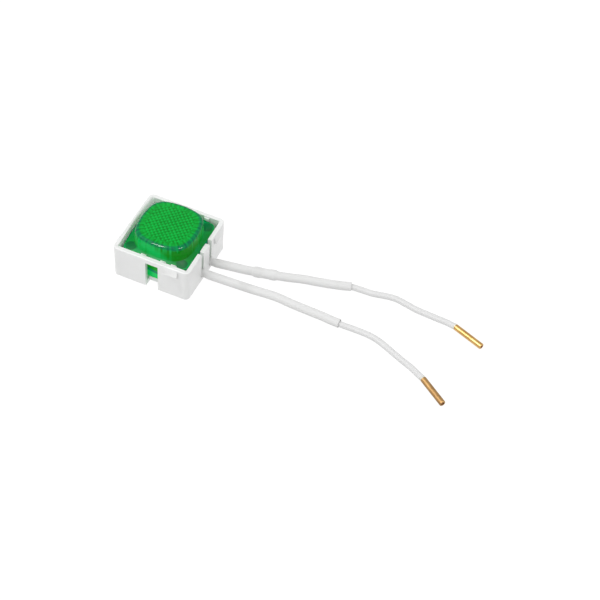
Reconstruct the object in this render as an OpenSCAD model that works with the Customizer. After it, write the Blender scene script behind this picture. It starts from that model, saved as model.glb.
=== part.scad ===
// Square panel pilot light: a white snap-in housing, a green prismatic lens over a neon lamp,
// and two sleeved leads that end in brass ferrules. The housing stands on its base at z = 0,
// the leads leave towards +X and lie on the same surface.

/* [Housing] */
// Width of the square housing at its rim
housing_w = 22; // [21:0.25:25]
// Height of the housing
housing_h = 10.3; // [9.8:0.1:12]
// Thickness of the four walls
wall_t = 1.15; // [0.9:0.05:1.35]
// Thickness of the floor
floor_t = 1.3; // [1:0.05:1.6]
// Radius of the upright outer corners
corner_r = 1.5; // [1.4:0.05:2]
// How far each wall leans in between rim and base
wall_lean = 0.15; // [0:0.05:0.3]
// Rounding of the bottom edge
base_edge_r = 0.4; // [0.2:0.05:0.5]
// Rounding of the rim's outer edge
rim_edge_r = 0.2; // [0.1:0.05:0.3]

/* [Window in the front wall] */
// Width of the window
window_w = 3.6; // [2.4:0.1:4]
// Offset of the window from the middle of the wall
window_x = 0.4; // [-0.6:0.1:0.6]
// Height of the window's top edge
window_top = 8.8; // [7:0.1:8.8]
// How far the window notches the floor, from the rim's outer face
window_depth = 2.65; // [1.6:0.05:2.65]

/* [Lead slots] */
// Width of each slot
slot_w = 1.2; // [1:0.05:1.4]
// Place of the rear slot along the wall
slot_rear_y = 2.05; // [1.8:0.05:2.4]
// Place of the front slot along the wall
slot_front_y = -2.5; // [-2.7:0.05:-2]
// Height of the slots' rounded bottoms
slot_bottom = 1.45; // [1.2:0.05:1.5]
// How far the tongue between the slots stays below the rim
tongue_drop = 0.25; // [0.1:0.05:0.5]
// Radius of the tongue's crowned top
tongue_crown_r = 7; // [5:0.5:12]

/* [Snap lugs] */
// Width of each lug
lug_w = 3.95; // [3:0.05:4.5]
// Offset of each lug from the middle of its wall
lug_x = 6; // [5:0.1:6.2]
// How far a lug stands out of the rim
lug_out = 0.85; // [0.5:0.05:1.1]
// Distance from the rim down to the lug's tip
lug_tip_drop = 1.95; // [1.5:0.05:2.2]
// Distance from the rim down to the lug's foot
lug_foot_drop = 2.75; // [2.5:0.05:3.4]

/* [Nibs over the lens] */
// Width of each nib
nib_w = 1.4; // [1:0.05:1.6]
// How far a nib stands in from the wall
nib_out = 0.65; // [0.4:0.05:0.75]

/* [Lens] */
// Gap between the flange and the housing walls
flange_gap = 0.15; // [0.1:0.05:0.25]
// Gap between the nibs and the flange
nib_gap = 0.08; // [0.04:0.02:0.12]
// Thickness of the flange
flange_t = 1.6; // [1.2:0.1:1.9]
// Distance from the rim down to the flange's top
flange_drop = 1.1; // [1:0.05:1.4]
// Radius of the flange's bowed sides
flange_side_r = 62; // [50:1:90]
// Radius of the flange's corners
flange_corner_r = 2; // [1.8:0.1:2.4]
// Width of the dome where it leaves the flange
dome_w = 16.6; // [16:0.1:17]
// Height of the dome above the flange
dome_rise = 4.5; // [3.8:0.1:6]
// Radius of the dome's bowed sides
dome_side_r = 17.6; // [15:0.1:22]
// Radius of the dome's corners
dome_corner_r = 4.6; // [4:0.1:5]
// Rounding of the dome's top edge
dome_edge_r = 1; // [0.6:0.05:1.1]
// How far the dome's wall leans in above the flange
dome_lean = 0.15; // [0.05:0.05:0.25]
// Thickness of the dome's wall and skirt outside the flutes
dome_wall_t = 1; // [0.8:0.05:1.1]
// Thickness of the dome's top above the prisms
dome_top_t = 1.2; // [1:0.05:1.6]
// Depth of the upright flutes inside
flute_depth = 0.4; // [0.25:0.05:0.5]
// Pitch of the upright flutes inside
flute_pitch = 0.8; // [0.7:0.05:1.1]
// Pitch of the pyramids under the top
pyramid_pitch = 0.95; // [0.8:0.05:1.4]
// Depth of the pyramids under the top
pyramid_depth = 0.45; // [0.3:0.05:0.6]
// Diameter of the four pegs under the flange
peg_d = 3; // [2.6:0.1:3.2]
// Distance of each peg from the two middle planes
peg_x = 7.35; // [7.2:0.05:7.4]
// Width of the doorway in the skirt for the leads
doorway_w = 8; // [7.8:0.1:8.6]
// Height of the doorway's top
doorway_top = 5.2; // [5:0.1:6.5]

/* [Neon lamp] */
// Diameter of the glass
lamp_d = 4.2; // [3.8:0.1:4.6]
// Length of the glass with its pinched foot
lamp_l = 10.5; // [9.5:0.1:11]
// Thickness of the glass
lamp_glass_t = 0.45; // [0.3:0.05:0.5]
// Width of the pinched foot
pinch_w = 3.2; // [2.6:0.1:3.6]
// Thickness of the pinched foot
pinch_t = 1.4; // [1:0.1:1.8]
// Length of the pinched foot
pinch_l = 2.6; // [2:0.1:3]
// Diameter of the electrodes
electrode_d = 0.7; // [0.5:0.05:0.8]
// Length of the electrodes
electrode_l = 4.8; // [3.5:0.1:5]
// Distance between the electrodes' axes
electrode_pitch = 1.5; // [1.3:0.05:1.6]
// Diameter of the lamp's lead wires
lamp_wire_d = 0.4; // [0.3:0.05:0.45]

/* [Resistor] */
// Diameter of the resistor's end caps
resistor_d = 2.2; // [1.8:0.1:2.4]
// Diameter of the resistor's middle
resistor_mid_d = 1.8; // [1.5:0.1:1.8]
// Length of the resistor's body
resistor_l = 5.2; // [4.6:0.1:5.8]
// Length of each end cap
resistor_cap_l = 1.2; // [0.8:0.1:1.5]
// Diameter of the resistor's wires
resistor_wire_d = 0.6; // [0.4:0.05:0.7]

/* [Leads] */
// Outside diameter of the thin insulated wires
wire_d = 1.65; // [1.65:0.05:1.8]
// Diameter of their conductors
conductor_d = 0.8; // [0.6:0.05:0.9]
// Gap between an insulated wire and the sleeve's bore
sleeve_gap = 0.05; // [0.04:0.01:0.1]
// Thickness of the sleeves
sleeve_t = 0.3; // [0.2:0.05:0.4]
// Diameter of the solder joints
solder_d = 1.1; // [0.95:0.05:1.2]
// Outside diameter of the ferrules
pin_d = 1.65; // [1.3:0.05:1.65]
// Length of the ferrules
pin_l = 9; // [7:0.1:11]
// Rounding of the ferrules' free ends
pin_edge_r = 0.2; // [0.1:0.02:0.2]

/* [Hidden] */
$fn = 64;
overlap = 0.2;
far = 3;

half_w = housing_w / 2;
inner_half = half_w - wall_t;
slot_ys = [slot_rear_y, slot_front_y];
nib_xs = [-2.6, 3, 6.1];

flange_top = housing_h - flange_drop;
flange_half = inner_half - flange_gap;
dome_half = dome_w / 2;
dome_top = flange_top + dome_rise;
core_top = dome_top - dome_top_t;
skirt_gap = 0.05;

rest_gap = 0.02;
lamp_z = floor_t + rest_gap + lamp_d / 2;
lamp_tip_gap = 0.8;
lamp_tip_x = -(dome_half - dome_wall_t - flute_depth - lamp_tip_gap);
lamp_foot_x = lamp_tip_x + lamp_l;
pinch_x = lamp_foot_x - pinch_l;
shoulder_l = 1.1;
weld_x = pinch_x - 0.8;

// Outlines whose four sides are arcs, with arcs round the corners that run into them.

// Distance of a corner arc's centre from each middle plane
function corner_at(half, side_r, round_r) =
  let (e = side_r - half, d = side_r - round_r)
  (sqrt(2 * d * d - e * e) - e) / 2;

// Half the angle that a side's arc spans
function side_angle(half, side_r, round_r) =
  asin(corner_at(half, side_r, round_r) / (side_r - round_r));

// Points round that outline, moved in by inset, with the given numbers of steps in each side and corner
function bowed_outline(half, side_r, round_r, inset, side_n, corner_n) =
  let (c = corner_at(half, side_r, round_r), b = side_angle(half, side_r, round_r))
  [for (k = [0:3]) each concat(
    [for (i = [0:side_n - 1])
      let (a = -b + 2 * b * i / side_n, r = side_r - inset)
      turned([half - side_r + r * cos(a), r * sin(a)], k)],
    [for (i = [0:corner_n - 1])
      let (a = b + (90 - 2 * b) * i / corner_n, r = round_r - inset)
      turned([c + r * cos(a), c + r * sin(a)], k)]
  )];
function turned(q, k) =
  [q[0] * cos(90 * k) - q[1] * sin(90 * k), q[0] * sin(90 * k) + q[1] * cos(90 * k)];

// A solid of that outline; edge lists its levels as [inset, z], going up
module bowed_solid(half, side_r, round_r, edge, side_n, corner_n) {
  n = 4 * (side_n + corner_n);
  levels = len(edge);
  points = [for (q = edge) for (v = bowed_outline(half, side_r, round_r, q[0], side_n, corner_n))
    [v[0], v[1], q[1]]];
  sides = [for (i = [0:levels - 2]) for (k = [0:n - 1])
    let (a = n * i + k, b = n * i + (k + 1) % n)
    each [[a, a + n, b + n], [a, b + n, b]]];
  bottom = [for (k = [0:n - 1]) k];
  top = [for (k = [n - 1:-1:0]) n * (levels - 1) + k];
  polyhedron(points = points, faces = concat(sides, [bottom, top]));
}

// Points of an arc from one direction to another, to the nearest thousandth
function arc(centre, r, from, to, steps) =
  [for (i = [0:steps])
    let (a = from + (to - from) * i / steps, q = centre + r * [cos(a), sin(a)])
    [round(1000 * q[0]) / 1000, round(1000 * q[1]) / 1000]];

// Tubes swept along a route of points, each ring an octagon.

octagon = 1 / cos(22.5);
function unit(v) = v / norm(v);
function heading(route, i) = unit(route[min(i + 1, len(route) - 1)] - route[max(i - 1, 0)]);
function ring(centre, dir, size) =
  let (side = unit(cross([0, 0, 1], dir)), up = cross(dir, side))
  [for (k = [0:7]) centre + octagon * (size[0] * cos(22.5 + 45 * k) * side + size[1] * sin(22.5 + 45 * k) * up)];
function rings(route, sizes) =
  [for (i = [0:len(route) - 1]) each ring(route[i], heading(route, i), sizes[i])];
function skin(n, first, inward) =
  [for (i = [0:n - 2]) for (k = [0:7])
    let (a = first + 8 * i + k, b = first + 8 * i + (k + 1) % 8)
    each inward ? [[a, b + 8, a + 8], [a, b, b + 8]] : [[a, a + 8, b + 8], [a, b + 8, b]]];
function collar(outer, inner, back) =
  [for (k = [0:7])
    let (a = outer + k, b = outer + (k + 1) % 8, c = inner + k, d = inner + (k + 1) % 8)
    each back ? [[a, b, d], [a, d, c]] : [[b, a, c], [b, c, d]]];

// Round wire or cord; sizes are half width and half height at each point of the route
module swept_rod(route, sizes) {
  n = len(route);
  start = [for (k = [0:7]) k];
  end = [for (k = [7:-1:0]) 8 * (n - 1) + k];
  polyhedron(points = rings(route, sizes), faces = concat(skin(n, 0, false), [start, end]));
}

// Tube with a bore whose half sizes are listed too
module swept_tube(route, sizes, bores) {
  n = len(route);
  ends = concat(collar(0, 8 * n, true), collar(8 * (n - 1), 8 * (2 * n - 1), false));
  polyhedron(
    points = concat(rings(route, sizes), rings(route, bores)),
    faces = concat(skin(n, 0, false), skin(n, 8 * n, true), ends)
  );
}

function even(r, n) = [for (i = [1:n]) [r, r]];
function part_way(a, b, t) = a + (b - a) * t;

// Leads: heights in the routes are counted from where the sleeve or the wire lies on the surface.

wire_r = wire_d / 2;
conductor_r = conductor_d / 2;
lamp_wire_r = lamp_wire_d / 2;
resistor_wire_r = resistor_wire_d / 2;
bore_r = wire_r + sleeve_gap;
sleeve_r = bore_r + sleeve_t;
mouth_flare = 0.12;

function on_surface(route, r) = [for (q = route) q + [0, 0, r]];

slot_z = 3;
sleeve_start_x = half_w - 4.2;
pinch_from_x = inner_half - overlap;
pinch_to_x = half_w + overlap;
function through_slot(y) =
  [for (x = [sleeve_start_x, sleeve_start_x + 1.5, pinch_from_x, pinch_to_x]) [x, y, slot_z]];
pinched = [slot_w / 2 - 0.03, 1.4];
pinched_bore = [slot_w / 2 - 0.03 - sleeve_t, 1.05];
round_outer = [sleeve_r, sleeve_r];
round_bore = [bore_r, bore_r];
function slot_sizes(a, b) = [a, a, b, b];

resistor_at = [25.1, 5.9];
resistor_turn = 13;
stretched_t = 0.3;
resistor_bore_r = resistor_d / 2 + sleeve_gap;
resistor_mid_bore_r = resistor_mid_d / 2 + 2 * sleeve_gap;
resistor_z = resistor_bore_r + stretched_t;
resistor_half = resistor_l / 2;
function by_resistor(s) =
  [resistor_at[0] + s * cos(resistor_turn), resistor_at[1] + s * sin(resistor_turn), resistor_z];
neck_s = resistor_half + 0.8;
waist_s = resistor_half - resistor_cap_l - 0.4;
cap_s = resistor_half - resistor_cap_l;
bulge_s = [-neck_s, -resistor_half, -cap_s, -waist_s, waist_s, cap_s, resistor_half, neck_s];
bulge_bores = [bore_r, resistor_bore_r, resistor_bore_r, resistor_mid_bore_r,
  resistor_mid_bore_r, resistor_bore_r, resistor_bore_r, bore_r];
bulge_walls = [sleeve_t, stretched_t, stretched_t, sleeve_t, sleeve_t, stretched_t, stretched_t, sleeve_t];

rear_descent = on_surface([[12.7, 2.3, 1.75], [15.9, 3.1, 1.4], [19.8, 4.3, 0.75]], sleeve_r);
rear_sleeve_run = on_surface([[31.1, 7.6, 0.05], [34.4, 8.7, 0], [38.3, 9.6, 0], [42.3, 10.6, 0],
  [45, 11.4, 0]], sleeve_r);
rear_sleeve_end = [46.9, 12.1, sleeve_r];
rear_wire_run = on_surface([[49.9, 12.5, 0], [53, 12.7, 0], [55.8, 13.3, 0], [58.7, 13.7, 0], [62.1, 13.2, 0],
  [65.3, 12.6, 0], [68.4, 12.4, 0], [71.6, 12.2, 0], [74, 12.1, 0]], wire_r);
rear_pin_at = [76.6, 11.7, wire_r];
rear_pin_turn = -20.8;

front_descent = on_surface([[12.7, -2.4, 1.75], [17.2, -1.8, 1.2], [20.5, -1.2, 0.65]], sleeve_r);
front_sleeve_run = on_surface([[24.1, -0.6, 0.15], [27.6, -0.2, 0], [31.1, 0, 0], [34.8, -0.3, 0],
  [38.6, -0.5, 0], [41.5, -0.6, 0], [44.5, -0.7, 0], [47, -0.9, 0]], sleeve_r);
front_sleeve_end = [49.3, -1, sleeve_r];
front_wire_run = on_surface([[52.8, -0.8, 0], [55.1, -0.8, 0], [57.4, -0.9, 0], [59.7, -1.3, 0],
  [62.8, -2.4, 0], [66.2, -3.9, 0], [68.9, -5, 0], [71.6, -6.1, 0], [73.8, -7.2, 0]], wire_r);
front_pin_at = [75.8, -8.2, wire_r];
front_pin_turn = -35.1;

rear_slot_points = through_slot(slot_rear_y);
front_slot_points = through_slot(slot_front_y);
lamp_joint_ends = [rear_descent[0], rear_descent[1]];
rear_joint_ends = [rear_sleeve_run[0], rear_sleeve_run[1]];
front_joint_ends = [front_descent[1], front_descent[2]];
joint_from = 0.15;
joint_to = 0.85;

function along(turn) = [cos(turn), sin(turn), 0];
pin_lead_in = 1.1;
tip_recess = 0.2;
wire_mouth_sag = [0, 0, 0.12];

module housing() {
  // outer face of a wall as [inset from the rim's outer face, z]
  base_in = wall_lean + base_edge_r;
  outer = concat(
    arc([-base_in, base_edge_r], base_edge_r, -90, 0, 4),
    arc([-rim_edge_r, housing_h - rim_edge_r], rim_edge_r, 0, 90, 3)
  );
  wall = concat([[-wall_t, 0]], outer, [[-wall_t, housing_h]]);
  straight = half_w - corner_r;
  color("white")
    difference() {
      union() {
        for (k = [0:3])
          rotate(90 * k) {
            translate([half_w, straight])
              rotate([90, 0, 0])
                linear_extrude(2 * straight)
                  polygon(wall);
            translate([straight, straight])
              rotate_extrude(angle = 90)
                polygon([for (q = wall) [max(corner_r + q[0], 0), q[1]]]);
            snap_lug();
          }
        floor_half = inner_half + overlap;
        translate([-floor_half, -floor_half, 0])
          cube([2 * floor_half, 2 * floor_half, floor_t]);
        for (turn = [0, 180])
          rotate(turn)
            for (x = turn == 0 ? nib_xs : -nib_xs)
              nib(x);
      }
      front_window();
      for (y = slot_ys)
        lead_slot(y);
      tongue_crown();
    }
}

// Wedge that snaps behind the panel, on the +X wall
module snap_lug() {
  lug_y = lug_x;
  translate([half_w, lug_y + lug_w / 2])
    rotate([90, 0, 0])
      linear_extrude(lug_w)
        polygon([
          [-wall_t / 2, housing_h - lug_foot_drop],
          [-wall_lean, housing_h - lug_foot_drop],
          [lug_out - 0.1, housing_h - lug_tip_drop - 0.15],
          [lug_out, housing_h - lug_tip_drop],
          [lug_out - 0.1, housing_h - lug_tip_drop + 0.2],
          [0, housing_h - rim_edge_r],
          [-wall_t / 2, housing_h - rim_edge_r]
        ]);
}

// Small nib that holds the flange down, on the -Y wall
module nib(x) {
  z0 = flange_top + nib_gap;
  translate([x - nib_w / 2, -inner_half])
    rotate([90, 0, 90])
      linear_extrude(nib_w)
        polygon([
          [-overlap, z0],
          [nib_out - 0.1, z0],
          [nib_out, z0 + 0.1],
          [nib_out, housing_h - 0.3],
          [nib_out - 0.15, housing_h - 0.1],
          [-overlap, housing_h - 0.1]
        ]);
}

module front_window() {
  translate([window_x - window_w / 2, -half_w - far, -far])
    cube([window_w, far + window_depth, far + window_top]);
}

module lead_slot(y) {
  r = slot_w / 2;
  translate([inner_half - overlap, y, slot_bottom + r])
    rotate([0, 90, 0])
      cylinder(r = r, h = wall_t + far);
  translate([inner_half - overlap, y - r, slot_bottom + r])
    cube([wall_t + far, slot_w, housing_h]);
}

// Takes the tongue between the slots down to its crowned top
module tongue_crown() {
  top = housing_h - tongue_drop;
  translate([inner_half - overlap, slot_front_y, 0])
    difference() {
      translate([0, 0, top - 1])
        cube([wall_t + far, slot_rear_y - slot_front_y, 2]);
      translate([-overlap, (slot_rear_y - slot_front_y) / 2, top - tongue_crown_r])
        rotate([0, 90, 0])
          cylinder(r = tongue_crown_r, h = wall_t + far + 2 * overlap, $fn = 180);
    }
}

module lens() {
  skirt_z = floor_t + skirt_gap;
  flange_edge = [[0.15, flange_top - flange_t], [0, flange_top - flange_t + 0.15],
    [0, flange_top - 0.15], [0.15, flange_top]];
  round_c = [dome_lean + dome_edge_r, dome_top - dome_edge_r];
  dome_edge = concat([[0, skirt_z], [0, flange_top]], arc(round_c, dome_edge_r, 180, 90, 6));
  color("limegreen") {
    difference() {
      union() {
        bowed_solid(flange_half, flange_side_r, flange_corner_r, flange_edge, 4, 8);
        bowed_solid(dome_half, dome_side_r, dome_corner_r, dome_edge, 8, 10);
        for (x = [-peg_x, peg_x])
          for (y = [-peg_x, peg_x])
            translate([x, y, floor_t])
              cylinder(d = peg_d, h = flange_top - floor_t - flange_t / 2);
      }
      translate([0, 0, -far])
        linear_extrude(core_top + far)
          polygon(flute_points());
      translate([0, -doorway_w / 2, -far])
        cube([housing_w, doorway_w, far + doorway_top]);
    }
    pyramids();
  }
}

// Zigzag outline of the hollow inside the lens
function flute_points() =
  let (
    b = side_angle(dome_half, dome_side_r, dome_corner_r),
    c = corner_at(dome_half, dome_side_r, dome_corner_r),
    side_n = ceil(2 * b * PI / 180 * (dome_side_r - dome_wall_t) / flute_pitch),
    corner_n = ceil((90 - 2 * b) * PI / 180 * (dome_corner_r - dome_wall_t) / flute_pitch)
  )
  [for (k = [0:3]) each concat(
    [for (i = [0:2 * side_n - 1])
      let (a = -b + b * i / side_n, r = dome_side_r - dome_wall_t - (i % 2) * flute_depth)
      turned([dome_half - dome_side_r + r * cos(a), r * sin(a)], k)],
    [for (i = [0:2 * corner_n - 1])
      let (a = b + (45 - b) * i / corner_n, r = dome_corner_r - dome_wall_t - (i % 2) * flute_depth)
      turned([c + r * cos(a), c + r * sin(a)], k)]
  )];
// Field of pyramids under the dome's top, where two runs of grooves cross
module pyramids() {
  half = dome_half - dome_wall_t - flute_depth - 0.25;
  cut = dome_corner_r * 0.3;
  n = 2 * ceil(half * sqrt(2) / pyramid_pitch);
  top = 0.1;
  saw = concat(
    [for (i = [-n / 2:n / 2 - 1])
      each [[i * pyramid_pitch, 0], [(i + 0.5) * pyramid_pitch, -pyramid_depth]]],
    [[n / 2 * pyramid_pitch, 0], [n / 2 * pyramid_pitch, top], [-n / 2 * pyramid_pitch, top]]
  );
  translate([0, 0, core_top])
    intersection() {
      for_run(45, n) polygon(saw);
      for_run(-45, n) polygon(saw);
      translate([0, 0, -1])
        linear_extrude(2)
          polygon([
            [half, half - cut], [half - cut, half], [cut - half, half], [-half, half - cut],
            [-half, cut - half], [cut - half, -half], [half - cut, -half], [half, cut - half]
          ]);
    }
}
module for_run(turn, n) {
  rotate(turn)
    rotate([90, 0, 0])
      linear_extrude(n * pyramid_pitch, center = true)
        children();
}

// The lamp lies along X on the floor, its foot towards the leads.
module lamp_glass() {
  r = lamp_d / 2;
  inner_r = r - lamp_glass_t;
  tip_l = 0.85 * r;
  color("whitesmoke")
    difference() {
      union() {
        translate([lamp_tip_x, 0, lamp_z])
          rotate([0, 90, 0])
            rotate_extrude()
              polygon(concat(
                [for (i = [0:6]) [r * sin(15 * i), tip_l * (1 - cos(15 * i))]],
                [[r, pinch_x - shoulder_l - lamp_tip_x], [pinch_t / 2, pinch_x + 0.2 - lamp_tip_x],
                  [0, pinch_x + 0.2 - lamp_tip_x]]
              ));
        translate([pinch_x, -pinch_w / 2, lamp_z - pinch_t / 2])
          cube([pinch_l, pinch_w, pinch_t]);
      }
      translate([lamp_tip_x + lamp_glass_t, 0, lamp_z])
        rotate([0, 90, 0])
          rotate_extrude()
            polygon(concat(
              [for (i = [0:6]) [inner_r * sin(15 * i), tip_l * (1 - cos(15 * i))]],
              [[inner_r, pinch_x - shoulder_l - 0.1 - lamp_tip_x - lamp_glass_t],
                [electrode_pitch / 2, pinch_x - 0.3 - lamp_tip_x - lamp_glass_t],
                [0, pinch_x - 0.3 - lamp_tip_x - lamp_glass_t]]
            ));
      for (y = [-electrode_pitch / 2, electrode_pitch / 2])
        translate([weld_x, y, lamp_z])
          rotate([0, 90, 0])
            cylinder(r = lamp_wire_r * octagon, h = far + pinch_l);
    }
}

module lamp_electrode(y) {
  color("silver")
    translate([weld_x - electrode_l, y, lamp_z])
      rotate([0, 90, 0])
        cylinder(d = electrode_d, h = electrode_l);
}
module lamp_electrode_a() lamp_electrode(electrode_pitch / 2);
module lamp_electrode_b() lamp_electrode(-electrode_pitch / 2);

// From its weld to an electrode out through the foot, then along the middle of the sleeve
module lamp_wire(y, slot_points, run) {
  route = concat(
    [[weld_x, y, lamp_z], [pinch_x, y, lamp_z], [lamp_foot_x + 0.2, y, lamp_z]],
    slot_points, run
  );
  color("silver")
    swept_rod(route, even(lamp_wire_r, len(route)));
}
module lamp_wire_a()
  lamp_wire(electrode_pitch / 2, rear_slot_points,
    [rear_descent[0], part_way(lamp_joint_ends[0], lamp_joint_ends[1], 0.5)]);
module lamp_wire_b()
  lamp_wire(-electrode_pitch / 2, front_slot_points,
    [front_descent[0], front_descent[1], part_way(front_joint_ends[0], front_joint_ends[1], 0.5)]);

module resistor_body() {
  cap_r = resistor_d / 2;
  mid_r = resistor_mid_d / 2;
  end_r = cap_r - 0.35;
  color("tan")
    translate(by_resistor(-resistor_half))
      rotate([0, 0, resistor_turn])
        rotate([0, 90, 0])
          rotate_extrude()
            polygon([
              [0, 0], [end_r, 0], [cap_r, 0.35], [cap_r, resistor_cap_l - 0.1],
              [mid_r, resistor_cap_l + 0.3], [mid_r, resistor_l - resistor_cap_l - 0.3],
              [cap_r, resistor_l - resistor_cap_l + 0.1], [cap_r, resistor_l - 0.35],
              [end_r, resistor_l], [0, resistor_l]
            ]);
}

module resistor_wire(route) {
  color("silver")
    swept_rod(route, even(resistor_wire_r, len(route)));
}
module resistor_wire_a()
  resistor_wire([
    part_way(lamp_joint_ends[0], lamp_joint_ends[1], 0.5), rear_descent[1], rear_descent[2],
    by_resistor(-neck_s), by_resistor(-resistor_half)
  ]);
module resistor_wire_b()
  resistor_wire([
    by_resistor(resistor_half), by_resistor(neck_s), rear_sleeve_run[0],
    part_way(rear_joint_ends[0], rear_joint_ends[1], 0.5)
  ]);

// Spindle of solder round two wires that meet in its middle
module solder_joint(ends, bore_a, bore_b) {
  r = solder_d / 2;
  at = [joint_from, joint_from + 0.15, 0.48, 0.5, joint_to - 0.15, joint_to];
  route = [for (t = at) part_way(ends[0], ends[1], t)];
  radii = [bore_a + 0.08, r, r, r, r, bore_b + 0.08];
  bores = [bore_a, bore_a, bore_a, bore_b, bore_b, bore_b];
  color("lightgray")
    swept_tube(route, [for (v = radii) [v, v]], [for (v = bores) [v, v]]);
}
module solder_joint_lamp() solder_joint(lamp_joint_ends, lamp_wire_r, resistor_wire_r);
module solder_joint_rear() solder_joint(rear_joint_ends, resistor_wire_r, conductor_r);
module solder_joint_front() solder_joint(front_joint_ends, lamp_wire_r, conductor_r);

module sleeve(slot_points, run, outer, bores) {
  route = concat(slot_points, run);
  color("white")
    swept_tube(
      route,
      concat(slot_sizes(round_outer, pinched), outer),
      concat(slot_sizes(round_bore, pinched_bore), bores)
    );
}

module sleeve_rear() {
  run = concat(rear_descent, [for (s = bulge_s) by_resistor(s)], rear_sleeve_run, [rear_sleeve_end]);
  bores = concat(
    even(bore_r, len(rear_descent)),
    [for (v = bulge_bores) [v, v]],
    even(bore_r, len(rear_sleeve_run)),
    even(bore_r + mouth_flare, 1)
  );
  outer = concat(
    even(sleeve_r, len(rear_descent)),
    [for (i = [0:len(bulge_s) - 1]) let (v = bulge_bores[i] + bulge_walls[i]) [v, v]],
    even(sleeve_r, len(rear_sleeve_run) + 1)
  );
  sleeve(rear_slot_points, run, outer, bores);
}

module sleeve_front() {
  run = concat(front_descent, front_sleeve_run, [front_sleeve_end]);
  n = len(run);
  sleeve(front_slot_points, run, even(sleeve_r, n), concat(even(bore_r, n - 1), even(bore_r + mouth_flare, 1)));
}

// Stripped end from the solder joint, insulated run, and stripped end that fills the ferrule
module insulated_wire(bare, covered, pin_at, pin_turn) {
  dir = along(pin_turn);
  route = concat(
    bare, covered,
    [pin_at - pin_lead_in * dir, pin_at, pin_at, pin_at + (pin_l - tip_recess) * dir]
  );
  bare_n = len(bare);
  sizes = concat(even(conductor_r, bare_n), even(wire_r, len(covered) + 2), even(conductor_r, 2));
  color("white")
    swept_rod(route, sizes);
}

module wire_rear() {
  joint = part_way(rear_joint_ends[0], rear_joint_ends[1], 0.5);
  strip = part_way(rear_sleeve_run[1], rear_sleeve_run[2], 0.5);
  in_sleeve = [strip, rear_sleeve_run[2], rear_sleeve_run[3], rear_sleeve_run[4],
    rear_sleeve_end - wire_mouth_sag];
  insulated_wire([joint, rear_sleeve_run[1], strip], concat(in_sleeve, rear_wire_run),
    rear_pin_at, rear_pin_turn);
}

module wire_front() {
  joint = part_way(front_joint_ends[0], front_joint_ends[1], 0.5);
  strip = part_way(front_descent[2], front_sleeve_run[0], 0.5);
  in_sleeve = concat([strip], front_sleeve_run, [front_sleeve_end - wire_mouth_sag]);
  insulated_wire([joint, front_descent[2], strip], concat(in_sleeve, front_wire_run),
    front_pin_at, front_pin_turn);
}

// Brass ferrule, its free end rounded
module ferrule(at, turn) {
  r = pin_d / 2;
  color("goldenrod")
    translate(at)
      rotate([0, 0, turn])
        rotate([0, 90, 0])
          difference() {
            rotate_extrude()
              polygon(concat(
                [[0, 0], [r, 0]],
                arc([r - pin_edge_r, pin_l - pin_edge_r], pin_edge_r, 0, 90, 4),
                [[0, pin_l]]
              ));
            translate([0, 0, -far])
              cylinder(r = conductor_r * octagon, h = pin_l + 2 * far);
          }
}
module pin_rear() ferrule(rear_pin_at, rear_pin_turn);
module pin_front() ferrule(front_pin_at, front_pin_turn);

housing();
lens();
lamp_glass();
lamp_electrode_a();
lamp_electrode_b();
lamp_wire_a();
lamp_wire_b();
resistor_body();
resistor_wire_a();
resistor_wire_b();
solder_joint_lamp();
solder_joint_rear();
solder_joint_front();
sleeve_rear();
sleeve_front();
wire_rear();
wire_front();
pin_rear();
pin_front();
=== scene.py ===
# %% [markdown]
# # A square neon pilot light
# The object is a snap-in panel light: a white moulded box, a green lens with prisms inside, a small
# neon lamp, and two leads in white sleeves that end in brass ferrules. The solid model already holds
# every piece at its real size. This notebook dresses it: it loads the solids, sweeps soft leads over
# the plain ones, and gives each material its finish.

# %% Load the solid model
import math

import bmesh
import bpy
import numpy as np
from mathutils import Matrix


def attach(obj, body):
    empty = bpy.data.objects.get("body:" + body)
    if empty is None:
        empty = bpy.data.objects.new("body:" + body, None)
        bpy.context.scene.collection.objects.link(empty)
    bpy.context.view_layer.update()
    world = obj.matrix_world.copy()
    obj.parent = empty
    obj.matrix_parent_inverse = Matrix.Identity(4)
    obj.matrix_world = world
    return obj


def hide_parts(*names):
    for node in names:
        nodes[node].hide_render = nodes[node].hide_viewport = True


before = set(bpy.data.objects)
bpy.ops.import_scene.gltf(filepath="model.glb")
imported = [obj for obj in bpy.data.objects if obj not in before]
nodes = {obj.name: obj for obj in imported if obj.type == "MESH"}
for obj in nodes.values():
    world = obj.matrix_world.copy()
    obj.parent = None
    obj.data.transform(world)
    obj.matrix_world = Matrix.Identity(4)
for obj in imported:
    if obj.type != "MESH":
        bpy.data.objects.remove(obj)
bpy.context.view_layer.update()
MM = 0.001

# %% [markdown]
# ## The camera
# The light lies on a table and is seen from above its front corner with a long lens, which keeps the
# box nearly free of perspective. A camera is a turning of the world: two angles say from where it
# looks, a small roll tilts the picture, and an offset puts the box left of the middle so that the
# leads fit too. Working it out as a matrix keeps those four facts in plain sight.

# %% Camera from its angles
def camera_axes(azimuth, elevation, roll):
    """Right, up and forward unit vectors: right lies level, forward dips by the elevation, and the
    roll turns right and up about forward."""
    a, e, r = np.radians([azimuth, elevation, roll])
    right = np.array([np.cos(a), np.sin(a), 0.0])
    forward = np.array([-np.sin(a) * np.cos(e), np.cos(a) * np.cos(e), -np.sin(e)])
    up = np.cross(right, forward)
    return np.cos(r) * right + np.sin(r) * up, np.cos(r) * up - np.sin(r) * right, forward


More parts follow.
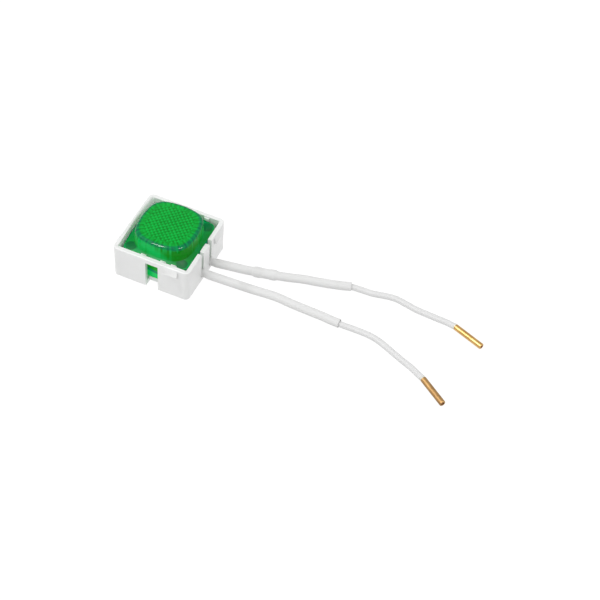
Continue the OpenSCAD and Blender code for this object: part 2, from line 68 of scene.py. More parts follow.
right, up, forward = camera_axes(azimuth=21.98, elevation=48.23, roll=3.58)
box_in_view = np.array([-34.37, 10.45, 565.3]) * MM  # the box, right of, above and away from the camera
place = -(box_in_view[0] * right + box_in_view[1] * up + box_in_view[2] * forward)
camera = bpy.data.objects.new("camera", bpy.data.cameras.new("camera"))
camera.data.lens = 128.85
camera.data.sensor_width = 36
camera.data.clip_start = 0.01
turn = np.eye(4)
turn[:3, :4] = np.column_stack([right, up, -forward, place])
camera.matrix_world = Matrix(turn.tolist())
bpy.context.scene.collection.objects.link(camera)
bpy.context.scene.camera = camera
print("camera at", np.round(place / MM, 1), "mm")

# %% [markdown]
# ## Routes of the two leads
# Each lead is a soft sleeve that leaves the box through a slot in its wall, drops to the table and
# wanders off, with a thin wire coming out of its mouth. The points are the ones that the solid tubes
# follow. A smooth curve through them is made of cubic pieces that share their slopes, so the leads
# bend softly where the solids have corners.

# %% Smooth curve through points
def smooth_curve(points, step):
    """Cubic Hermite curve: distance along the chords is the parameter, the slope at each point is the
    central difference of its neighbours, and each stretch blends its two ends and their slopes."""
    p = np.asarray(points, float)
    s = np.concatenate([[0.0], np.cumsum(np.linalg.norm(np.diff(p, axis=0), axis=1))])
    slope = np.gradient(p, s, axis=0)
    u = np.linspace(0.0, s[-1], int(round(s[-1] / step)) + 1)
    i = np.clip(np.searchsorted(s, u, side="right") - 1, 0, len(s) - 2)
    h = (s[i + 1] - s[i])[:, None]
    t = ((u - s[i]) / (s[i + 1] - s[i]))[:, None]
    ends = (2 * t**3 - 3 * t**2 + 1) * p[i] + (3 * t**2 - 2 * t**3) * p[i + 1]
    leans = (t**3 - 2 * t**2 + t) * h * slope[i] + (t**3 - t**2) * h * slope[i + 1]
    return ends + leans, u, s


def eased(u, knots, values):
    """Value along the curve that goes from each knot's value to the next in an S-shaped step, level
    at both ends."""
    v = np.asarray(values, float)
    i = np.clip(np.searchsorted(knots, u, side="right") - 1, 0, len(knots) - 2)
    t = np.clip((u - knots[i]) / np.maximum(knots[i + 1] - knots[i], 1e-9), 0, 1)
    t = t * t * (3 - 2 * t)
    return v[i] * (1 - t) + v[i + 1] * t


# %% Route points
SLEEVE_R, WIRE_R, CONDUCTOR_R, BORE_R = 1.175, 0.825, 0.4, 0.875
SLOT_Z, SLOT_XS = 3.0, (6.8, 8.3, 9.65, 11.2)
REAR_SLOT_Y, FRONT_SLOT_Y = 2.05, -2.5
RESISTOR_X, RESISTOR_Y, RESISTOR_Z, RESISTOR_TURN = 25.1, 5.9, 1.45, 13


def through_slot(y):
    """Points straight through the wall's slot at height SLOT_Z."""
    return [[x, y, SLOT_Z] for x in SLOT_XS]


def lying(points, radius):
    """Route points whose heights count from where the tube lies on the table."""
    return [[x, y, z + radius] for x, y, z in points]


def by_resistor(s):
    """Point s millimetres along the resistor's axis from its middle."""
    a = math.radians(RESISTOR_TURN)
    return [RESISTOR_X + s * math.cos(a), RESISTOR_Y + s * math.sin(a), RESISTOR_Z]


rear_drop = lying([[12.7, 2.3, 1.75], [15.9, 3.1, 1.4], [19.8, 4.3, 0.75]], SLEEVE_R)
rear_bulge = [by_resistor(s) for s in (-3.4, -2.6, -1.4, -1.0, 1.0, 1.4, 2.6, 3.4)]
rear_run = lying(
    [[31.1, 7.6, 0.05], [34.4, 8.7, 0], [38.3, 9.6, 0], [42.3, 10.6, 0], [45, 11.4, 0]], SLEEVE_R)
rear_mouth = [46.9, 12.1, SLEEVE_R]
front_drop = lying([[12.7, -2.4, 1.75], [17.2, -1.8, 1.2], [20.5, -1.2, 0.65]], SLEEVE_R)
front_run = lying(
    [[24.1, -0.6, 0.15], [27.6, -0.2, 0], [31.1, 0, 0], [34.8, -0.3, 0],
     [38.6, -0.5, 0], [41.5, -0.6, 0], [44.5, -0.7, 0], [47, -0.9, 0]], SLEEVE_R)
front_mouth = [49.3, -1, SLEEVE_R]
rear_wire_run = lying(
    [[49.9, 12.5, 0], [53, 12.7, 0], [55.8, 13.3, 0], [58.7, 13.7, 0], [62.1, 13.2, 0],
     [65.3, 12.6, 0], [68.4, 12.4, 0], [71.6, 12.2, 0], [74, 12.1, 0]], WIRE_R)
front_wire_run = lying(
    [[52.8, -0.8, 0], [55.1, -0.8, 0], [57.4, -0.9, 0], [59.7, -1.3, 0], [62.8, -2.4, 0],
     [66.2, -3.9, 0], [68.9, -5, 0], [71.6, -6.1, 0], [73.8, -7.2, 0]], WIRE_R)
rear_ferrule, front_ferrule = ([76.6, 11.7, WIRE_R], -20.8), ([75.8, -8.2, WIRE_R], -35.1)
FERRULE_L, TIP_RECESS = 9.0, 0.2
print("rear sleeve:", len(SLOT_XS) + len(rear_drop) + len(rear_bulge) + len(rear_run) + 1, "points")

# %% [markdown]
# ## Sweeping a tube
# A sleeve is a skin round its route, squeezed flat where the slot pinches it and swollen over the
# resistor. Rings of points stand square to the route, each an ellipse of its own half width and
# half height. The sleeve is hollow: its rings run out along the outside, round the lip and back
# along the bore, so the surface closes on itself.

# %% Surfaces from grids of points
def grid_piece(name, grid, close_rows=False):
    """Mesh from a grid of points whose columns run round a ring: each face joins four neighbours,
    columns wrap, and rows wrap too when close_rows is set. Points that coincide are merged."""
    rows, columns = grid.shape[:2]
    index = np.arange(rows * columns).reshape(rows, columns)
    ahead = np.roll(index, -1, axis=0) if close_rows else index[1:]
    here = index if close_rows else index[:-1]
    faces = np.stack([here, np.roll(here, -1, axis=1), np.roll(ahead, -1, axis=1), ahead], axis=-1)
    mesh = bpy.data.meshes.new(name)
    mesh.from_pydata(grid.reshape(-1, 3) * MM, [], faces.reshape(-1, 4))
    work = bmesh.new()
    work.from_mesh(mesh)
    bmesh.ops.remove_doubles(work, verts=work.verts, dist=1e-7)
    bmesh.ops.recalc_face_normals(work, faces=work.faces)
    work.to_mesh(mesh)
    work.free()
    mesh.shade_smooth()
    piece = bpy.data.objects.new(name, mesh)
    bpy.context.scene.collection.objects.link(piece)
    return piece


def rings(centres, half_w, half_h, sides):
    """Ellipses square to a route: centre + w cos(angle) side + h sin(angle) up, where side is level
    and up completes the frame."""
    along = np.gradient(centres, axis=0)
    along /= np.linalg.norm(along, axis=1, keepdims=True)
    side = np.cross([0.0, 0.0, 1.0], along)
    side /= np.linalg.norm(side, axis=1, keepdims=True)
    over = np.cross(along, side)
    angle = np.linspace(0, 2 * np.pi, sides, endpoint=False)[None, :, None]
    w, h = (np.broadcast_to(v, len(centres))[:, None, None] for v in (half_w, half_h))
    return centres[:, None] + w * np.cos(angle) * side[:, None] + h * np.sin(angle) * over[:, None]


# %% Sleeves
SLEEVE_STEP, SLEEVE_SIDES = 0.35, 40
WOBBLE, WOBBLE_FROM = 0.012, 6
LIP_OUT, EDGE_OUT, EDGE_SHARE = 0.12, 0.09, 0.85


def sleeve(name, points, sizes, bores):
    """Outer rings from the start to the mouth, two rings round the lip, bore rings back again."""
    centres, u, knots = smooth_curve(points, SLEEVE_STEP)
    w, h = eased(u, knots, [v[0] for v in sizes]), eased(u, knots, [v[1] for v in sizes])
    bw, bh = eased(u, knots, [v[0] for v in bores]), eased(u, knots, [v[1] for v in bores])
    wobble = WOBBLE * np.sin(1.1 * u + 0.6) * np.clip((u - WOBBLE_FROM) / WOBBLE_FROM, 0, 1)
    outer = rings(centres, w + wobble, h - 0.4 * wobble, SLEEVE_SIDES)
    inner = rings(centres, bw, bh, SLEEVE_SIDES)
    ahead = (centres[-1] - centres[-2]) / SLEEVE_STEP
    lip = (outer[-1] + inner[-1]) / 2 + LIP_OUT * ahead
    edge = outer[-1] * EDGE_SHARE + inner[-1] * (1 - EDGE_SHARE) + EDGE_OUT * ahead
    grid = np.concatenate([outer, edge[None], lip[None], inner[::-1]])
    return grid_piece(name, grid, close_rows=True), centres * MM


round_sleeve, round_bore = (SLEEVE_R, SLEEVE_R), (BORE_R, BORE_R)
pinched, pinched_bore = (0.57, 1.4), (0.27, 1.05)
in_slot = [round_sleeve, round_sleeve, pinched, pinched]
bore_in_slot = [round_bore, round_bore, pinched_bore, pinched_bore]
CAP_R, WAIST_R, CAP_BORE_R, WAIST_BORE_R = 1.44, 1.33, 1.14, 1.02
MOUTH_FLARE = 0.12


def over_resistor(end_r, cap_r, waist_r):
    """Round sizes along the resistor: up over one cap, in at the waist, out and down again."""
    return [(r, r) for r in (end_r, cap_r, cap_r, waist_r, waist_r, cap_r, cap_r, end_r)]


bulge = over_resistor(SLEEVE_R, CAP_R, WAIST_R)
bulge_bore = over_resistor(BORE_R, CAP_BORE_R, WAIST_BORE_R)
mouth_bore = (BORE_R + MOUTH_FLARE, BORE_R + MOUTH_FLARE)
sleeve_rear, rear_path = sleeve(
    "sleeving_rear",
    through_slot(REAR_SLOT_Y) + rear_drop + rear_bulge + rear_run + [rear_mouth],
    in_slot + [round_sleeve] * len(rear_drop) + bulge + [round_sleeve] * (len(rear_run) + 1),
    bore_in_slot + [round_bore] * len(rear_drop) + bulge_bore + [round_bore] * len(rear_run) + [mouth_bore],
)
sleeve_front, front_path = sleeve(
    "sleeving_front",
    through_slot(FRONT_SLOT_Y) + front_drop + front_run + [front_mouth],
    in_slot + [round_sleeve] * (len(front_drop) + len(front_run) + 1),
    bore_in_slot + [round_bore] * (len(front_drop) + len(front_run)) + [mouth_bore],
)


def path_length(path):
    """Sum of the distances between neighbouring points of a path."""
    return float(np.linalg.norm(np.diff(path, axis=0), axis=1).sum())


print("sleeves:", round(path_length(rear_path), 4), round(path_length(front_path), 4), "m")

# %% [markdown]
# ## Thin wires
# The thin wire starts stripped at a solder joint inside the sleeve, carries its insulation out of the
# mouth, and is stripped again inside the ferrule. One closed rod with two steps in its radius has
# exactly that form. A step is two rings in nearly one place, and each end closes to a point.

# %% Wires
WIRE_SIDES, BARE_STEP, COVERED_STEP, BARE_END_RINGS = 32, 0.5, 0.4, 12
CUT_EDGE = 0.06
ROUNDED_END = [1.0, 0.85, 0.55]
RING_GAP = 1e-6


def ferrule_point(ferrule, s):
    """Point s millimetres along a ferrule's axis from its mouth."""
    at, turn_deg = ferrule
    a = math.radians(turn_deg)
    return [at[0] + s * math.cos(a), at[1] + s * math.sin(a), at[2]]


def wire(name, bare, covered, ferrule):
    """Rod whose radius steps up where the insulation starts and down where it ends."""
    mouth, tip = ferrule_point(ferrule, 0), ferrule_point(ferrule, FERRULE_L - TIP_RECESS)
    start, _, _ = smooth_curve(bare, BARE_STEP)
    body, _, _ = smooth_curve(covered + [mouth], COVERED_STEP)
    end = np.linspace(mouth, tip, BARE_END_RINGS)
    centres = np.concatenate([start, body, end])
    radius = np.concatenate([
        np.full(len(start), CONDUCTOR_R), np.full(len(body), WIRE_R), np.full(len(end), CONDUCTOR_R)])
    radius[len(start)] -= CUT_EDGE
    radius[len(start) + len(body) - 1] -= CUT_EDGE
    radius[-3:] *= ROUNDED_END
    spread = centres + RING_GAP * np.arange(len(centres))[:, None] * (centres[-1] - centres[0])
    around = rings(spread, radius, radius, WIRE_SIDES)
    caps = [np.repeat(centres[i][None, None], WIRE_SIDES, axis=1) for i in (0, -1)]
    return grid_piece(name, np.concatenate([caps[0], around, caps[1]])), centres * MM


def between(a, b):
    """Point halfway from a to b."""
    return [p + (q - p) * 0.5 for p, q in zip(a, b)]


def sagging(mouth):
    """Where a wire rests in its sleeve's mouth."""
    return [mouth[0], mouth[1], mouth[2] - MOUTH_SAG]


MOUTH_SAG = 0.12
rear_strip, front_strip = between(rear_run[1], rear_run[2]), between(front_drop[2], front_run[0])
wire_rear, rear_wire_path = wire(
    "insulated_wire_rear",
    [between(rear_run[0], rear_run[1]), rear_run[1], rear_strip],
    [rear_strip] + rear_run[2:] + [sagging(rear_mouth)] + rear_wire_run,
    rear_ferrule,
)
wire_front, front_wire_path = wire(
    "insulated_wire_front",
    [between(front_drop[1], front_drop[2]), front_drop[2], front_strip],
    [front_strip] + front_run + [sagging(front_mouth)] + front_wire_run,
    front_ferrule,
)
print("wires:", round(path_length(rear_wire_path), 4), round(path_length(front_wire_path), 4), "m")

# %% [markdown]
# ## The leads in place of the solid tubes
# Each sleeve and each wire goes under the root in place of its solid, which is hidden, and its length
# is printed; its thickness and where it leaves are worked out but not used. A sleeve leaves the box at
# its slot, and a wire leaves its sleeve's mouth.

WALL_X = 11.0
as_sleeve = (2 * SLEEVE_R, "bare", "sleeving")
as_wire = (2 * WIRE_R, "connector", "insulation")
in_rear_sleeve = [
    "lamp_wire_a", "solder_joint_lamp", "resistor_wire_a", "resistor_body", "resistor_wire_b",
    "solder_joint_rear"]
in_front_sleeve = ["lamp_wire_b", "solder_joint_front"]
lead_pieces = [
    (sleeve_rear, "sleeve_rear", rear_path, [WALL_X, REAR_SLOT_Y, SLOT_Z], *as_sleeve, in_rear_sleeve),
    (sleeve_front, "sleeve_front", front_path, [WALL_X, FRONT_SLOT_Y, SLOT_Z], *as_sleeve, in_front_sleeve),
    (wire_rear, "wire_rear", rear_wire_path, rear_run[-1], *as_wire, ["pin_rear"]),
    (wire_front, "wire_front", front_wire_path, front_run[-1], *as_wire, ["pin_front"]),
]
for piece, node, path, leaves, thickness, end, slot, goes_with in lead_pieces:
    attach(piece, "root")
    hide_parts(node)
    [v * MM for v in leaves]
    thickness * MM
    print(node, "length", round(path_length(path) / MM, 1), "mm")

# %% [markdown]
# ## The two mouldings, smoothed
# The lens is one green moulding with pyramids under its top and flutes down its inside. The housing is
# one white moulding with slots, lugs and nibs. The solids have those forms, but their rounded edges are
# made of flat facets. A copy whose coinciding points are merged can carry smooth shading: faces that
# meet at a small angle share a normal, and real edges stay crisp.

# %% Smooth copy of a moulding
def smooth_copy(node, name, sharp_from):
    """Copy of a solid's mesh with its points merged and its edges sharp from an angle upwards."""
    mesh = nodes[node].data.copy()
    work = bmesh.new()
    work.from_mesh(mesh)
    bmesh.ops.remove_doubles(work, verts=work.verts, dist=2e-6)
    work.to_mesh(mesh)
    work.free()
    mesh.shade_smooth()
    mesh.set_sharp_from_angle(angle=math.radians(sharp_from))
    piece = bpy.data.objects.new(name, mesh)
    bpy.context.scene.collection.objects.link(piece)
    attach(piece, "root")
    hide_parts(node)
    return piece


lens = smooth_copy("lens", "green_lens", sharp_from=24)
housing = smooth_copy("housing", "white_housing", sharp_from=18)
print("lens faces:", len(lens.data.polygons), "housing faces:", len(housing.data.polygons))

# %% [markdown]
# ## A small language for finishes
# Shader graphs read best as formulas. The class below wraps one output of a node, so that adding or
# multiplying two of them adds the Math node by itself. One method makes every other kind of node:
# it takes the node's type, its settings, and what feeds its inputs.

# %% Wrapper for sockets
class Value:
    """An output of a node that can be used in sums, as in 1 - mask * 0.3."""

    def __init__(self, finish, socket):
        self.finish, self.socket = finish, socket

    def _math(self, operation, first, second):
        return self.finish.node("ShaderNodeMath", {"operation": operation}, {0: first, 1: second})

    def __add__(self, other):
        return self._math("ADD", self, other)

    def __mul__(self, other):
        return self._math("MULTIPLY", self, other)

    def __sub__(self, other):
        return self._math("SUBTRACT", self, other)

    def __rsub__(self, other):
        return self._math("SUBTRACT", other, self)

    def __pow__(self, other):
        return self._math("POWER", self, other)

    def __gt__(self, other):
        return self._math("GREATER_THAN", self, other)

    def size(self):
        """The value without its sign."""
        return self._math("ABSOLUTE", self, 0)

    def wave(self):
        """Sine of the value."""
        return self._math("SINE", self, 0)


class Finish:
    """A material whose graph is built by calls."""

    def __init__(self, name):
        self.material = bpy.data.materials.new(name)
        self.material.use_nodes = True
        self.tree = self.material.node_tree
        self.tree.nodes.clear()
        self.output = self.tree.nodes.new("ShaderNodeOutputMaterial")

    def feed(self, socket, value):
        if isinstance(value, Value):
            self.tree.links.new(value.socket, socket)
        elif isinstance(value, (tuple, list)) and len(value) == 3 and socket.type == "RGBA":
            socket.default_value = (*value, 1)
        else:
            socket.default_value = value

    def node(self, kind, settings=None, inputs=None, out=0):
        made = self.tree.nodes.new(kind)
        for key, value in (settings or {}).items():
            setattr(made, key, value)
        for key, value in (inputs or {}).items():
            self.feed(made.inputs[key], value)
        return Value(self, made.outputs[out])

    def where(self):
        """Object coordinates, which stay with the piece."""
        return self.node("ShaderNodeTexCoord", out="Object")

    def axes(self):
        """The three object coordinates in millimetres."""
        parts = self.node("ShaderNodeSeparateXYZ", {}, {0: self.where()}).socket.node.outputs
        return [Value(self, parts[i]) * 1000 for i in range(3)]

    def noise(self, scale, detail, vector=None):
        return self.node(
            "ShaderNodeTexNoise", {}, {"Vector": vector or self.where(), "Scale": scale, "Detail": detail})

    def ramp(self, value, low, high, first=0.0, last=1.0):
        """Value mapped from low..high to first..last and held at the ends."""
        return self.node(
            "ShaderNodeMapRange", {"clamp": True},
            {"Value": value, "From Min": low, "From Max": high, "To Min": first, "To Max": last})

    def mix(self, factor, first, second):
        made = self.tree.nodes.new("ShaderNodeMix")
        made.data_type = "RGBA"
        for socket, value in zip([made.inputs[0], made.inputs[6], made.inputs[7]], [factor, first, second]):
            self.feed(socket, value)
        return Value(self, made.outputs[2])

    def bump(self, height, strength, distance):
        return self.node(
            "ShaderNodeBump", {}, {"Height": height, "Strength": strength, "Distance": distance})

    def surface(self, **inputs):
        """Principled surface; underscores in the names stand for spaces."""
        made = self.tree.nodes.new("ShaderNodeBsdfPrincipled")
        for key, value in inputs.items():
            self.feed(made.inputs[key.replace("_", " ")], value)
        self.tree.links.new(made.outputs[0], self.output.inputs["Surface"])
        return self.material


def dress(piece, material):
    """Gives a piece its one material."""
    piece.data.materials.clear()
    piece.data.materials.append(material)


# %% [markdown]
# ## White moulded plastic
# The housing is injection-moulded nylon or ABS: clean white, slightly glossy, with the faintest
# unevenness where it cooled. Roughness that drifts a little and a very shallow bump keep its flat
# walls from looking like paper.

# %% Housing finish
white = Finish("white_moulding")
cooling = white.noise(900, 2)
drift = white.noise(160, 3)
white_material = white.surface(
    Base_Color=white.mix(white.ramp(drift, 0.35, 0.7), (0.87, 0.875, 0.87), (0.83, 0.835, 0.83)),
    Roughness=white.ramp(drift, 0.3, 0.7, 0.3, 0.42),
    Normal=white.bump(cooling, 0.06, 0.0001),
    Subsurface_Weight=0.35,
    Subsurface_Radius=(0.0012, 0.0012, 0.0012),
)
dress(housing, white_material)
print("housing dressed")

# %% [markdown]
# ## Green lens
# The lens is acrylic dyed green. Light refracted by the pyramids under its top is painted as a lattice
# of bright and dark diamonds, and light through the flutes is painted as dashes round its rim. Its side
# wall gets painted light too: streaks, and lighter and darker patches. A painted refraction makes its
# clear edge bluer, with a teal line along the flange's edge. Painted shade puts dark spots where the
# pegs under the flange's corners show through. The skirt low down is painted brighter towards the
# bottom, with a painted shadow band under the flange. Each of these is painted by a formula in the
# place on the lens, which stays opaque: nothing refracts, and a little emission low down stands in for
# light that the acrylic carries. A bowed square is nearly a superellipse: almost the cube root of a sum
# of cubes measures how far out a place is, the way a square root of squares does for a circle.

# %% Lens finish
PITCH, BOW = 1.29, 2.9
PRISMS_TO_DASHES, TOP_TO_RIM = (5.7, 6.4), (6.95, 7.4)
ROOF_TO_WALL, FLANGE_TO_DOME, SKIRT_TO_FLANGE = (13.2, 12.7), (9.15, 9.35), (7.4, 7.7)
PEG_AT, PEG_SHADE_FADE, FLANGE_EDGE = 7.35, (1.65, 1.4), (9.2, 9.5)
SHADOW_BAND_Z, SHADOW_BAND_SLOPE = 3.6, 0.16
SMOOTH_ROUGHNESS, MOULDED_ROUGHNESS = 0.07, 0.45

green = Finish("green_acrylic")
x, y, z = green.axes()
out = (x.size() ** BOW + y.size() ** BOW) ** (1 / BOW)
turn_at = green.node("ShaderNodeMath", {"operation": "ARCTAN2"}, {0: y, 1: x})
mottle = green.noise(1200, 2)
broad = green.noise(150, 2)


def lattice(place, waves=1):
    """Sine along a place in millimetres, with so many waves to each pyramid pitch."""
    return (place * (2 * math.pi * waves / PITCH)).wave()


# Painted light: bright and dark diamonds where light refracts through the pyramids under the top.
painted_facet_light = lattice(x) * lattice(y) * 1.5 + lattice(x, waves=2) * 0.4 + lattice(x + y) * 0.3
# Painted light: bright and dark dashes where light refracts through the flutes round the rim.
painted_flute_light = (turn_at * 34).wave() * 0.6 + (turn_at * 57).wave() * 0.4
in_rim = green.ramp(out, *PRISMS_TO_DASHES)
# The top's painted light (lattice inside, dashes near the rim) plus random mottle in the acrylic.
painted_light_and_mottle = painted_facet_light * (1 - in_rim) + painted_flute_light * in_rim + (mottle - 0.5) * 3.2 + (broad - 0.5)
top = green.mix(green.ramp(painted_light_and_mottle, -1.3, 1.3), (0.0, 0.22, 0.016), (0.0, 0.47, 0.05))
# Painted light on the dome's side wall: flute streaks near its top, and lighter and darker patches round
# it, lighter low down.
streaks = painted_flute_light * green.ramp(z, 11.4, 12.6, 0.22, 0.7)
painted_wall_light = (broad - 0.5) * 5 + (turn_at * 3 + 0.6).wave() * 0.35 + green.ramp(z, 9.2, 12.0, 0.2, -0.2)
wall = green.mix(green.ramp(streaks + painted_wall_light, -0.7, 0.7), (0.0, 0.25, 0.004), (0.0, 0.5, 0.09))
# Painted refraction: the clear edge round the top, teal with dashes.
rim = green.mix(green.ramp(painted_flute_light + (mottle - 0.5) * 3, -1.0, 1.0), (0.0, 0.14, 0.065), (0.0, 0.3, 0.075))
dome = green.mix(green.ramp(out, *TOP_TO_RIM), top, rim)
dome = green.mix(green.ramp(z, *ROOF_TO_WALL), dome, wall)

# %% Lens finish below the dome
# Painted shade: dark spots where the pegs under the flange's corners show through.
peg_far = ((x.size() - PEG_AT) ** 2 + (y.size() - PEG_AT) ** 2) ** 0.5
# Painted refraction: a teal line along the flange's clear outer edge.
edge_at = green.node("ShaderNodeMath", {"operation": "MAXIMUM"}, {0: x.size(), 1: y.size()})
flange = green.mix(green.ramp(broad, 0.35, 0.65), (0.0, 0.34, 0.05), (0.0, 0.41, 0.13))
flange = green.mix(green.ramp(edge_at, *FLANGE_EDGE), flange, (0.0, 0.24, 0.12))
flange = green.mix(green.ramp(peg_far, *PEG_SHADE_FADE), flange, (0.0, 0.13, 0.045))
# Painted shadow: a dark teal band across the skirt under the flange. Painted light: the skirt brighter
# towards the bottom.
shadow_band_far = (z - SHADOW_BAND_Z + x * SHADOW_BAND_SLOPE).size()
skirt = green.mix(green.ramp(z, 3.2, 4.2), (0.0, 0.62, 0.12), (0.0, 0.36, 0.01))
skirt = green.mix(green.ramp(shadow_band_far, 0.6, 0.3), skirt, (0.0, 0.26, 0.12))
below = green.mix(green.ramp(z, *SKIRT_TO_FLANGE), skirt, flange)
bumpy = painted_light_and_mottle * green.ramp(out, 7.2, 6.6) + broad * 0.4
green_material = green.surface(
    Base_Color=green.mix(green.ramp(z, *FLANGE_TO_DOME), below, dome),
    # Painted glow: the skirt's colour as a little emission, for light that the acrylic carries.
    Emission_Color=green.mix(green.ramp(z, *SKIRT_TO_FLANGE), skirt, (0.0, 0.0, 0.0)),
    Emission_Strength=0.3,
    Roughness=green.ramp(z, 9.2, 9.5, MOULDED_ROUGHNESS, SMOOTH_ROUGHNESS),
    IOR=1.49,
    Specular_IOR_Level=0.14,
    Normal=green.bump(bumpy, 0.12, 0.0001),
)
dress(lens, green_material)
print("lens graph:", len(green.tree.nodes), "nodes")

# %% [markdown]
# ## Sleeves and wires
# The sleeving is dull and soft, a little grey where fingers held it. The thin wires are smooth PVC
# with a little more shine, and they end in copper inside the ferrules. A mask from the distance to the
# ferrule's mouth changes the colour there.

# %% Lead finishes
soft = Finish("white_sleeving")
smudge = soft.ramp(soft.noise(140, 4), 0.55, 0.75)
soft_material = soft.surface(
    Base_Color=soft.mix(smudge * 0.6, (0.76, 0.76, 0.757), (0.6, 0.6, 0.59)),
    Roughness=soft.ramp(soft.noise(300, 2), 0.3, 0.7, 0.6, 0.75),
    Specular_IOR_Level=0.25,
    Normal=soft.bump(soft.noise(700, 3), 0.12, 0.00015),
    Subsurface_Weight=0.1,
    Subsurface_Radius=(0.001, 0.001, 0.001),
)
dress(sleeve_rear, soft_material)
dress(sleeve_front, soft_material)


def insulation(name, ferrule):
    """White PVC as far as the ferrule's mouth, a little yellower over the last 0.7 mm before it, and copper
    beyond.
    """
    pvc = Finish(name)
    (mouth_x, mouth_y, _), turn_deg = ferrule
    a = math.radians(turn_deg)
    x, y, _ = pvc.axes()
    past_mouth = (x - mouth_x) * math.cos(a) + (y - mouth_y) * math.sin(a)
    copper = past_mouth > 0.02
    # Yellower over the last 0.7 mm before the ferrule's mouth.
    yellower_before_mouth = pvc.ramp(past_mouth, -0.7, -0.4)
    pvc_colour = pvc.mix(yellower_before_mouth * 0.5, (0.745, 0.745, 0.745), (0.71, 0.71, 0.6))
    return pvc.surface(
        Base_Color=pvc.mix(copper, pvc_colour, (0.42, 0.16, 0.1)),
        Roughness=0.5,
        Specular_IOR_Level=0.25,
        Metallic=copper,
        Normal=pvc.bump(pvc.noise(500, 2), 0.05, 0.0001),
    )


dress(wire_rear, insulation("wire_insulation_rear", rear_ferrule))
dress(wire_front, insulation("wire_insulation_front", front_ferrule))
print("leads dressed")

# %% [markdown]
# ## Metal and glass
# The ferrules are bare brass, drawn along their length, so fine streaks run with the axis. One is
# lighter in colour and shinier, the other darker and rougher. The rest is small and hidden: tinned
# wire, solder, nickel rods, glass and a lacquered resistor.

# %% Metal and glass finishes
def brass(name, turn_deg, rough, colour, dark):
    """Brass with streaks along a ferrule that lies turned by turn_deg about the upright."""
    metal = Finish(name)
    along = metal.node(
        "ShaderNodeMapping", {"vector_type": "POINT"},
        {"Vector": metal.where(), "Rotation": (0, 0, math.radians(-turn_deg)), "Scale": (60, 1500, 1500)})
    streak = metal.noise(1.0, 3, along)
    patch = metal.noise(420, 3)
    return metal.surface(
        Base_Color=metal.mix(metal.ramp(patch, 0.4, 0.7), colour, dark),
        Metallic=1.0,
        Roughness=metal.ramp(streak, 0.3, 0.7, rough - 0.06, rough + 0.06),
        Normal=metal.bump(streak, 0.15, 0.00005),
    )


def plain_metal(name, colour, rough):
    """Soft bare metal with a slightly uneven shine."""
    metal = Finish(name)
    shine = metal.ramp(metal.noise(800, 2), 0.3, 0.7, rough, rough + 0.12)
    return metal.surface(Base_Color=colour, Metallic=1.0, Roughness=shine)


dress(nodes["pin_rear"], brass("brass_bright", rear_ferrule[1], 0.24, (0.68, 0.43, 0.16), (0.52, 0.3, 0.1)))
dress(nodes["pin_front"], brass("brass_dull", front_ferrule[1], 0.48, (0.4, 0.245, 0.1), (0.3, 0.17, 0.07)))
tinned = plain_metal("tinned_wire", (0.72, 0.71, 0.69), 0.3)
solder = plain_metal("soft_solder", (0.66, 0.67, 0.68), 0.34)
nickel = plain_metal("nickel_rod", (0.6, 0.57, 0.52), 0.35)
for node in ("lamp_wire_a", "lamp_wire_b", "resistor_wire_a", "resistor_wire_b"):
    dress(nodes[node], tinned)
for node in ("solder_joint_lamp", "solder_joint_rear", "solder_joint_front"):
    dress(nodes[node], solder)
for node in ("lamp_electrode_a", "lamp_electrode_b"):
    dress(nodes[node], nickel)
glass = Finish("lamp_glass")
dress(nodes["lamp_glass"], glass.surface(
    Base_Color=(0.93, 0.95, 0.94), Roughness=glass.ramp(glass.noise(400, 2), 0.3, 0.7, 0.02, 0.06),
    IOR=1.47, Transmission_Weight=0.95))
lacquer = Finish("resistor_lacquer")
blotch = lacquer.ramp(lacquer.noise(600, 2), 0.4, 0.6)
dress(nodes["resistor_body"], lacquer.surface(
    Base_Color=lacquer.mix(blotch, (0.74, 0.6, 0.4), (0.68, 0.53, 0.34)), Roughness=0.35))
print("materials:", len(bpy.data.materials))

# %% [markdown]
# ## Table and light
# The light lies on white, under an even studio sky with one large soft lamp above it to the left. Two
# strips only make gloss, which puts the bright lines on the lens without lighting the walls, and a weak
# lamp fills in from the right. The table glows more for the camera and in reflections, and the sky for
# the camera only, than either does for light that falls on the object. So the white plastic still
# stands out from the white behind it.

# %% Floor and sky
DIM_GLOW, SEEN_GLOW = 0.62, 0.33
SKY_FOR_LIGHT, SKY_FOR_CAMERA = 0.78, 1.0
TABLE_GREY = (0.12, 0.12, 0.12)


def seen_directly(finish):
    """One for rays that come from the camera, a reflection or a refraction."""
    rays = [finish.node("ShaderNodeLightPath", {}, {}, out) for out in
            ("Is Camera Ray", "Is Glossy Ray", "Is Transmission Ray")]
    return finish.ramp(rays[0] + rays[1] + rays[2], 0.0, 1.0)


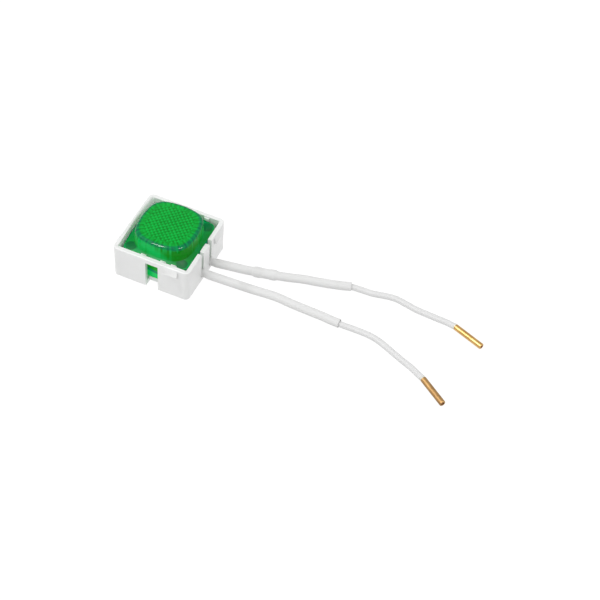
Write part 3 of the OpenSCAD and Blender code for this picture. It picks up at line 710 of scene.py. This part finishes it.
bpy.ops.mesh.primitive_plane_add(size=6, location=(0, 0, -0.00002))
floor = bpy.context.object
floor.name = "table"
table = Finish("white_table")
paper = table.tree.nodes.new("ShaderNodeBsdfDiffuse")
table.feed(paper.inputs["Color"], TABLE_GREY)
glow = table.tree.nodes.new("ShaderNodeEmission")
table.feed(glow.inputs["Strength"], seen_directly(table) * SEEN_GLOW + DIM_GLOW)
both = table.tree.nodes.new("ShaderNodeAddShader")
table.tree.links.new(paper.outputs[0], both.inputs[0])
table.tree.links.new(glow.outputs[0], both.inputs[1])
table.tree.links.new(both.outputs[0], table.output.inputs["Surface"])
dress(floor, table.material)

world = bpy.data.worlds.new("studio")
bpy.context.scene.world = world
world.use_nodes = True
sky = world.node_tree.nodes["Background"]
sky.inputs["Color"].default_value = (1, 1, 1, 1)
ray_kind = world.node_tree.nodes.new("ShaderNodeLightPath")
lift = world.node_tree.nodes.new("ShaderNodeMapRange")
lift.inputs["To Min"].default_value = SKY_FOR_LIGHT
lift.inputs["To Max"].default_value = SKY_FOR_CAMERA
world.node_tree.links.new(ray_kind.outputs["Is Camera Ray"], lift.inputs["Value"])
world.node_tree.links.new(lift.outputs[0], sky.inputs["Strength"])
print("sky:", SKY_FOR_LIGHT, "for light and", SKY_FOR_CAMERA, "for the camera")

# %% Lamps
HEAD, FOOT = (0, 0, 0.012), (0.02, 0, 0)


def add_light(name, place_at, width, height, watts, target=HEAD, only_gloss=False):
    """Area light that faces a point; one that only makes gloss leaves matt surfaces as they are."""
    light = bpy.data.objects.new(name, bpy.data.lights.new(name, "AREA"))
    light.data.shape = "RECTANGLE"
    light.data.size, light.data.size_y, light.data.energy = width, height, watts
    light.location = place_at
    light.visible_diffuse = not only_gloss
    way = np.array(target) - np.array(light.location)
    tip_down = math.atan2(math.hypot(way[0], way[1]), -way[2])
    light.rotation_euler = (tip_down, 0, math.atan2(way[1], way[0]) - math.pi / 2)
    bpy.context.scene.collection.objects.link(light)


add_light("softbox", (-0.22, -0.2, 0.5), 0.5, 0.5, 1.2, target=FOOT)
add_light("strip_front", (-0.15, -0.32, 0.48), 0.17, 0.1, 3.6, only_gloss=True)
add_light("strip_right", (0.33, -0.12, 0.48), 0.2, 0.1, 3.0, only_gloss=True)
add_light("fill", (0.5, -0.05, 0.4), 0.4, 0.4, 0.2)
bpy.context.scene.view_settings.view_transform = "Standard"
print("lamps:", len(bpy.data.lights))
